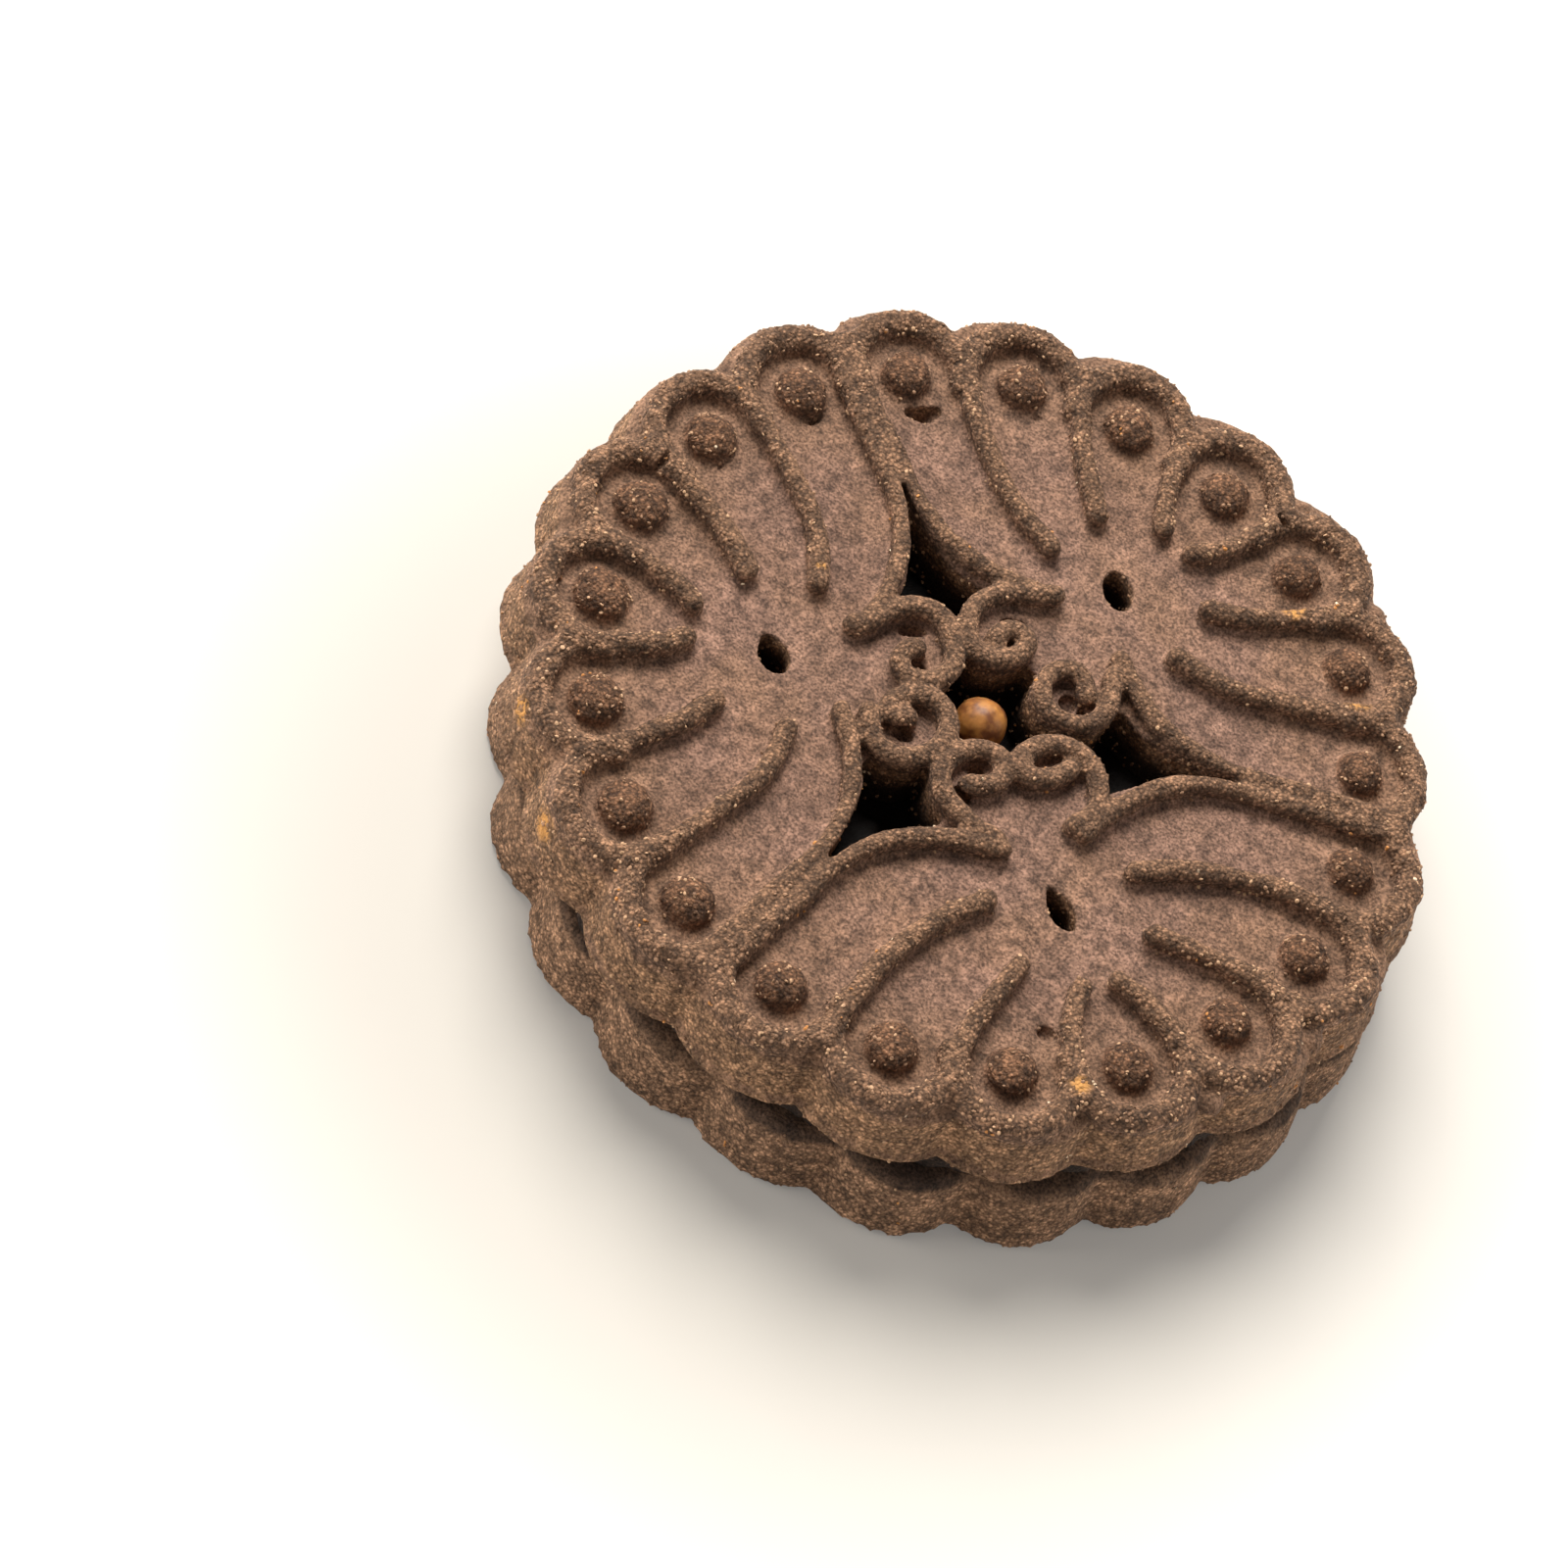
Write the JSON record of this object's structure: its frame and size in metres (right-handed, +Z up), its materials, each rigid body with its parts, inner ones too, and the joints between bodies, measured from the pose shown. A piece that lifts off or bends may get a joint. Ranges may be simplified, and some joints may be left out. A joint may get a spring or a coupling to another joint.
{
  "type": "chocolate sandwich biscuit",
  "caption": "Round cocoa sandwich biscuit lying flat: moulded fans, beads and scrolls on its upper face, a scalloped rim, small openings and dark cream between the biscuits.",
  "frame": {"origin": "middle of the biscuit's bounding box, on the plane of its flat underside", "axes": "+Z up out of the moulded face, +Y along the middle of one of the three fans, +X to that fan's right seen from above"},
  "size_m": [0.0613, 0.0608, 0.0123],
  "materials": {
    "cocoa_biscuit": "matt baked cocoa dough with a fine crumb",
    "cocoa_biscuit_lower": "matt baked cocoa dough, a little darker",
    "cocoa_cream": "dark dull cream with a crumbly edge",
    "caramel_pearl": "slightly glossy caramel pearl"
  },
  "bodies": {
    "root": {"top_biscuit": "cocoa_biscuit", "bottom_biscuit": "cocoa_biscuit_lower", "cream_filling": "cocoa_cream", "sugar_pearl": "caramel_pearl"}
  },
  "joints": []
}
